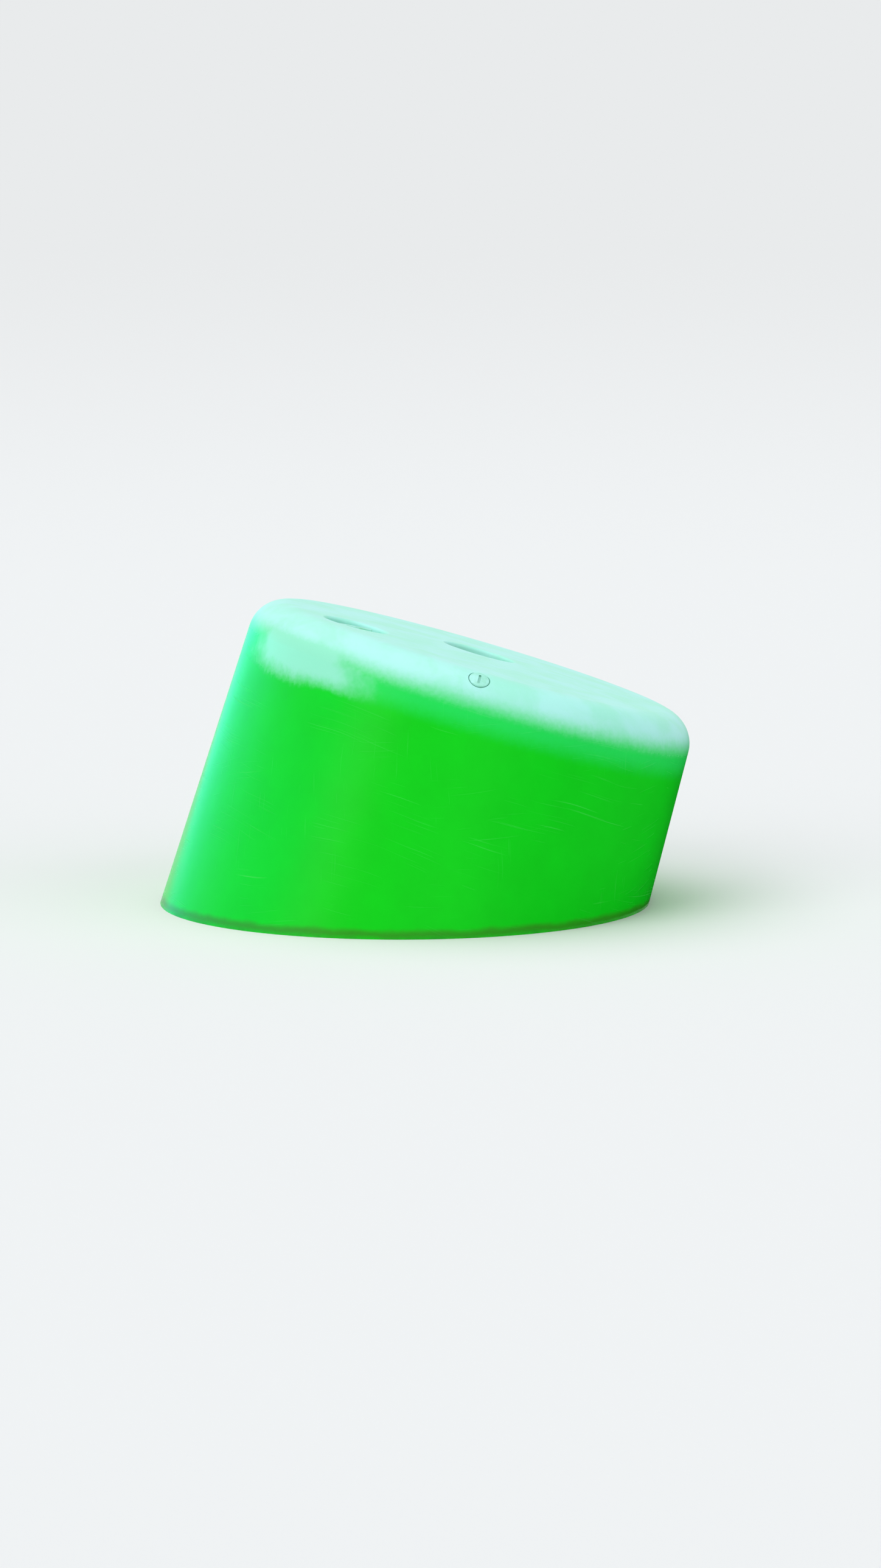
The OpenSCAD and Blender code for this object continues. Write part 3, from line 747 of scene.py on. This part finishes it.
def makeFillerCap(sizes):
    up = crownCentre + math.sqrt(hull["crownArc"] ** 2 - sizes["out"] ** 2)
    seat = hullSeat(sizes["turn"], sizes["out"], up, math.asin(sizes["out"] / hull["crownArc"]))
    r, foot = sizes["radius"] - sizes["ribSize"][0] / 2, sizes["foot"]
    top = foot + sizes["thickness"]
    floor = top - sizes["dish"]
    rounds, boss = sizes["rounds"], sizes["boss"]
    shape = turnedMesh(roundedCorners([
        (0, sizes["shankEnd"], 0), (sizes["shankRadius"], sizes["shankEnd"], rounds["shank"]),
        (sizes["shankRadius"], foot, 0), (r, foot, rounds["foot"]), (r, top, rounds["rim"]),
        (sizes["dishOuter"], top, rounds["dish"]),
        (sizes["dishOuter"] - sizes["dishWall"], floor, rounds["dish"]),
        (sizes["dishInner"], floor, rounds["boss"]),
        (sizes["dishInner"] - boss["slope"], floor + boss["rise"], 0),
        (0, floor + boss["middle"], 0)]), sizes["sides"])
    shape.from_mesh(toMesh(barMesh(*sizes["grip"], sizes["gripDraft"], sizes["gripRound"],
                                   floor - sizes["gripSunk"]), "grip"))
    shape.from_mesh(grownMesh("filler_cap_ribs", ribTree(), {
        "Count": sizes["ribs"], "Radius": r, "Height": foot + sizes["thickness"] / 2,
        "Rib Size": sizes["ribSize"], "Finish": capPlastic}))
    mesh = toMesh(shape, "filler_cap_moulding")
    mesh.transform(seat)
    addPiece("filler_cap_moulding", mesh, capPlastic, "buoy", "filler_cap")


makeFillerCap(fillerCap)
print("filler cap made")

# Vent plug: a low domed head with a coin slot
ventPlug = {
    "turn": 259, "lean": 34, "drop": 3.5 * mm,  # sunk square to the shoulder
    "radius": 13.5 * mm, "thickness": 4 * mm, "dome": 0.5 * mm,
    "shankRadius": 7 * mm, "shankLength": 16 * mm,
    "rounds": {"shank": 1 * mm, "foot": 0.4 * mm, "rim": 1.3 * mm},
    "slot": (17 * mm, 3.2 * mm, 1.8 * mm), "slotRound": 0.2 * mm,
    "cutterOver": 2 * mm,  # how far the slot's cutter stands out of the head
    "sides": 72,
}


def makeVentPlug(sizes):
    lean = math.radians(sizes["lean"])
    shoulderUp = crownCentre + math.sqrt((hull["crownArc"] - hull["shoulder"]) ** 2
                                         - hull["shoulderOut"] ** 2)
    seat = hullSeat(sizes["turn"], hull["shoulderOut"] + hull["shoulder"] * math.sin(lean),
                    shoulderUp + hull["shoulder"] * math.cos(lean), lean)
    r, top, rounds = sizes["radius"], sizes["thickness"], sizes["rounds"]
    profile = roundedCorners([
        (0, -sizes["shankLength"], 0),
        (sizes["shankRadius"], -sizes["shankLength"], rounds["shank"]),
        (sizes["shankRadius"], 0, 0), (r, 0, rounds["foot"]),
        (r, top - sizes["dome"], rounds["rim"]), (r / 2, top - sizes["dome"] / 4, 0),
        (0, top, 0)])
    length, width, depth = sizes["slot"]
    head = addObject("head", toMesh(turnedMesh(profile, sizes["sides"]), "head"))
    cutter = addObject("cutter", toMesh(
        barMesh(length, width, depth + sizes["cutterOver"], 0, sizes["slotRound"], top - depth),
        "cutter"))
    cut = head.modifiers.new("slot", "BOOLEAN")
    cut.object, cut.operation, cut.solver = cutter, "DIFFERENCE", "EXACT"
    mesh = bpy.data.meshes.new_from_object(
        head.evaluated_get(bpy.context.evaluated_depsgraph_get()))
    for helper in (head, cutter):
        bpy.data.objects.remove(helper)
    mesh.transform(seat @ Matrix.Translation((0, 0, -sizes["drop"])))
    addPiece("vent_plug_moulding", mesh, capPlastic, "buoy", "vent_plug")


makeVentPlug(ventPlug)
print("vent plug made")

# Rolled threads that show past the nuts: one ridge wound round each end
threads = {
    "pitch": 2 * mm, "ridge": 0.9 * mm, "radius": 7.62 * mm,
    "ends": {  # foot and top along the bar
        "top_bar_thread": (332 * mm, 337.2 * mm),
        "base_bar_thread": (-273.2 * mm, -266 * mm),
    },
    "pinShort": 0.6 * mm,  # how far short of the shackle pin's end the ridge stops
    "pinSunk": 1 * mm,  # how far inside the nut it starts
    "runOut": 0.08, "runOutSize": 0.3,  # share of its length in which it dies down, and to what
}


def threadTree(sizes):
    tree, given = newGrower("rolled_thread", {"Radius": "Float", "Pitch": "Float",
                                              "Length": "Float", "Ridge": "Float",
                                              "Finish": "Material"})
    turns = addNode(tree, "ShaderNodeMath", {0: given["Length"], 1: given["Pitch"]},
                    operation="DIVIDE")
    helix = addNode(tree, "GeometryNodeCurveSpiral",
                    {"Resolution": 40, "Rotations": turns, "Start Radius": given["Radius"],
                     "End Radius": given["Radius"], "Height": given["Length"]})
    crest = addNode(tree, "GeometryNodeCurvePrimitiveCircle",
                    {"Resolution": 6, "Radius": given["Ridge"]})
    # the ridge dies down towards both ends
    along = addNode(tree, "GeometryNodeSplineParameter").outputs["Factor"]
    back = addNode(tree, "ShaderNodeMath", {0: 1.0, 1: along}, operation="SUBTRACT")
    nearEnd = addNode(tree, "ShaderNodeMath", {0: along, 1: back}, operation="MINIMUM")
    size = addNode(tree, "ShaderNodeMapRange",
                   {"Value": nearEnd, "From Max": sizes["runOut"],
                    "To Min": sizes["runOutSize"]})
    ridge = addNode(tree, "GeometryNodeCurveToMesh",
                    {"Curve": helix, "Profile Curve": crest, "Scale": size, "Fill Caps": True})
    return finishGrower(tree, ridge, given["Finish"])


def makeThreads(sizes):
    # name: body, length and place
    wound = {}
    for name, (foot, top) in sizes["ends"].items():
        wound[name] = "buoy", top - foot, leanOver @ Matrix.Translation((0, 0, foot))
    # the shackle pin's end lies along Y
    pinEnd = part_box("shackle_pin")[1][1]
    nutLow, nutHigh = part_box("shackle_nut")
    start = Vector(((nutLow[0] + nutHigh[0]) / 2, nutHigh[1] - sizes["pinSunk"],
                    (nutLow[2] + nutHigh[2]) / 2))
    wound["shackle_pin_thread"] = (
        "shackle", pinEnd - nutHigh[1] - sizes["pinShort"] + sizes["pinSunk"],
        Matrix.Translation(start) @ Matrix.Rotation(math.radians(-90), 4, "X"))
    tree = threadTree(sizes)
    for name, (body, length, place) in wound.items():
        mesh = grownMesh(name, tree, {
            "Radius": sizes["radius"], "Pitch": sizes["pitch"], "Ridge": sizes["ridge"],
            "Length": length, "Finish": zinc})
        mesh.transform(place)
        addPiece(name, mesh, zinc, body, sharpAt=60)


makeThreads(threads)
print("threads wound")

# Floor at the waterline: pale from above, clear from below so that the underside can be seen
stageSizes = {"radius": 60.0, "sides": 96, "floor": "#E9EBEC", "fadeFrom": 3.0, "fadeTo": 9.0}


def seenDirectly(tree):
    # 1 for what the camera and the gloss see, and the rays' other kinds
    path = addNode(tree, "ShaderNodeLightPath").outputs
    seen = addNode(tree, "ShaderNodeMath",
                   {0: path["Is Camera Ray"], 1: path["Is Glossy Ray"]}, operation="MAXIMUM")
    return seen, path


def makeFloor(sizes):
    mesh = bpy.data.meshes.new("studio_floor")
    turns = [math.tau * i / sizes["sides"] for i in range(sizes["sides"])]
    rim = [(sizes["radius"] * math.cos(turn), sizes["radius"] * math.sin(turn), 0)
           for turn in turns]
    mesh.from_pydata(rim, [], [list(range(len(rim)))])
    floor = addObject("studio_floor", mesh)
    material, tree = newMaterial("studio_paper")
    paper = addNode(tree, "ShaderNodeBsdfDiffuse", {"Color": linear(sizes["floor"])})
    clear = addNode(tree, "ShaderNodeBsdfTransparent")
    backdrop = addNode(tree, "ShaderNodeEmission", {"Color": linear(sizes["floor"])})
    place = addNode(tree, "ShaderNodeTexCoord").outputs["Object"]
    far = addNode(tree, "ShaderNodeVectorMath", {0: place}, operation="LENGTH")
    fade = addNode(tree, "ShaderNodeMapRange",
                   {"Value": far.outputs["Value"], "From Min": sizes["fadeFrom"],
                    "From Max": sizes["fadeTo"]}, interpolation_type="SMOOTHSTEP")
    shown = addNode(tree, "ShaderNodeMath", {0: fade, 1: seenDirectly(tree)[0]},
                    operation="MULTIPLY")
    front = addNode(tree, "ShaderNodeMixShader", {0: shown, 1: paper, 2: backdrop})
    facing = addNode(tree, "ShaderNodeNewGeometry")
    both = addNode(tree, "ShaderNodeMixShader",
                   {0: facing.outputs["Backfacing"], 1: front, 2: clear})
    addNode(tree, "ShaderNodeOutputMaterial", {"Surface": both})
    mesh.materials.append(material)


makeFloor(stageSizes)

# World: pale backdrop for what the camera and the gloss see, a weaker soft fill for the rest
skySizes = {"backdrop": "#E9EBEC", "fill": 0.50}


def makeWorld(sizes):
    world = bpy.data.worlds.new("studio")
    bpy.context.scene.world = world
    tree = clearedTree(world)
    seen, path = seenDirectly(tree)
    seen = addNode(tree, "ShaderNodeMath", {0: seen, 1: path["Is Transmission Ray"]},
                   operation="MAXIMUM")
    strength = addNode(tree, "ShaderNodeMapRange", {"Value": seen, "To Min": sizes["fill"]})
    sky = addNode(tree, "ShaderNodeBackground",
                  {"Color": linear(sizes["backdrop"]), "Strength": strength})
    addNode(tree, "ShaderNodeOutputWorld", {"Surface": sky})


makeWorld(skySizes)

# Lamps: wide suns give even light with no hard edge
suns = {
    "overhead": {"from": (-0.2, 0.1, 1.0), "spread": 70, "strength": 1.45},
    "key": {"from": (-0.80, -0.60, 0.62), "spread": 40, "strength": 0.80},
    "right": {"from": (0.80, -0.70, 0.55), "spread": 60, "strength": 0.55},
}
lampTarget, lampDistance = Vector((0.05, 0, 0.15)), 5

for name, values in suns.items():
    light = bpy.data.lights.new(name + "_lamp", "SUN")
    light.angle, light.energy = math.radians(values["spread"]), values["strength"]
    lamp = addObject(name + "_lamp", light)
    lamp.location = lampTarget + Vector(values["from"]).normalized() * lampDistance
    lamp.rotation_euler = (lampTarget - lamp.location).to_track_quat("-Z", "Y").to_euler()

# Curved cards that only the gloss sees: a pale one gives the band down the left side, a low one
# lights the left edge, and a dark one on the right and over the floor keeps that edge deep green
cards = {
    "pale_card": {"from": 92, "to": 226, "fade": 45, "colour": "#6CF0F0", "strength": 3.8,
                  "faintBelow": 0.75, "outline": ((3.2, 0.01), (3.2, 1.05))},  # radius and height
    "low_card": {"from": 84, "to": 160, "fade": 32, "colour": "#6CF0F0", "strength": 3.0,
                 "faintBelow": 0.03, "outline": ((3.1, 0.005), (3.1, 0.8))},
    "dark_card": {"from": -95, "to": 98, "fade": 40, "colour": "#14241C", "strength": 1.0,
                  "faintBelow": 0.001, "outline": ((0.30, 0.004), (3.2, 0.004), (3.2, 0.10))},
}


def makeCard(name, sizes, steps=24):
    sweep = sizes["to"] - sizes["from"]
    shape = bmesh.new()
    rows = []
    for i in range(steps + 1):
        turn = math.radians(sizes["from"] + sweep * i / steps)
        rows.append([shape.verts.new((r * math.cos(turn), r * math.sin(turn), z))
                     for r, z in sizes["outline"]])
    for one, other in zip(rows, rows[1:]):
        for k in range(len(one) - 1):
            shape.faces.new((one[k], one[k + 1], other[k + 1], other[k]))
    card = addObject(name, toMesh(shape, name))
    material, tree = newMaterial(name + "_cloth")
    cloth = addNode(tree, "ShaderNodeEmission", {"Color": linear(sizes["colour"]),
                                                 "Strength": sizes["strength"]})
    clear = addNode(tree, "ShaderNodeBsdfTransparent")
    # fades out towards both ends and the foot, so that no edge of it shows in the gloss
    xyz = addNode(tree, "ShaderNodeSeparateXYZ",
                  {"Vector": addNode(tree, "ShaderNodeTexCoord").outputs["Object"]}).outputs
    flat = addNode(tree, "ShaderNodeCombineXYZ", {"X": xyz["X"], "Y": xyz["Y"]})
    unit = addNode(tree, "ShaderNodeVectorMath", {0: flat}, operation="NORMALIZE")
    middle, half = math.radians((sizes["from"] + sizes["to"]) / 2), math.radians(sweep / 2)
    facing = addNode(tree, "ShaderNodeVectorMath",
                     {0: unit, 1: (math.cos(middle), math.sin(middle), 0)},
                     operation="DOT_PRODUCT")
    shown = addNode(tree, "ShaderNodeMapRange",
                    {"Value": facing.outputs["Value"], "From Min": math.cos(half),
                     "From Max": math.cos(half - math.radians(sizes["fade"]))},
                    interpolation_type="SMOOTHSTEP")
    raised = addNode(tree, "ShaderNodeMapRange",
                     {"Value": xyz["Z"], "From Min": 0.0, "From Max": sizes["faintBelow"]})
    amount = addNode(tree, "ShaderNodeMath", {0: shown, 1: raised}, operation="MULTIPLY")
    both = addNode(tree, "ShaderNodeMixShader", {0: amount, 1: clear, 2: cloth})
    addNode(tree, "ShaderNodeOutputMaterial", {"Surface": both})
    card.data.materials.append(material)
    card.visible_camera = card.visible_diffuse = card.visible_shadow = False
    card.visible_transmission = False


for name, values in cards.items():
    makeCard(name, values)
print("stage and lamps set")

# Camera: the photograph's side and height, from far off with a long lens
cameraSizes = {
    "azimuth": -11.0, "elevation": 8.5, "distance": 14.0,
    "target": (0.045, 0.0, 0.155), "frameHeight": 2.06,
}


def makeCamera(sizes):
    around, up = math.radians(sizes["azimuth"]), math.radians(sizes["elevation"])
    back = Vector((math.sin(around) * math.cos(up), -math.cos(around) * math.cos(up),
                   math.sin(up)))
    data = bpy.data.cameras.new("photo_camera")
    data.lens = data.sensor_width * sizes["distance"] / sizes["frameHeight"]
    camera = addObject("photo_camera", data)
    camera.location = Vector(sizes["target"]) + back * sizes["distance"]
    camera.rotation_euler = (-back).to_track_quat("-Z", "Y").to_euler()
    bpy.context.scene.camera = camera


makeCamera(cameraSizes)
bpy.context.scene.view_settings.view_transform = "Standard"
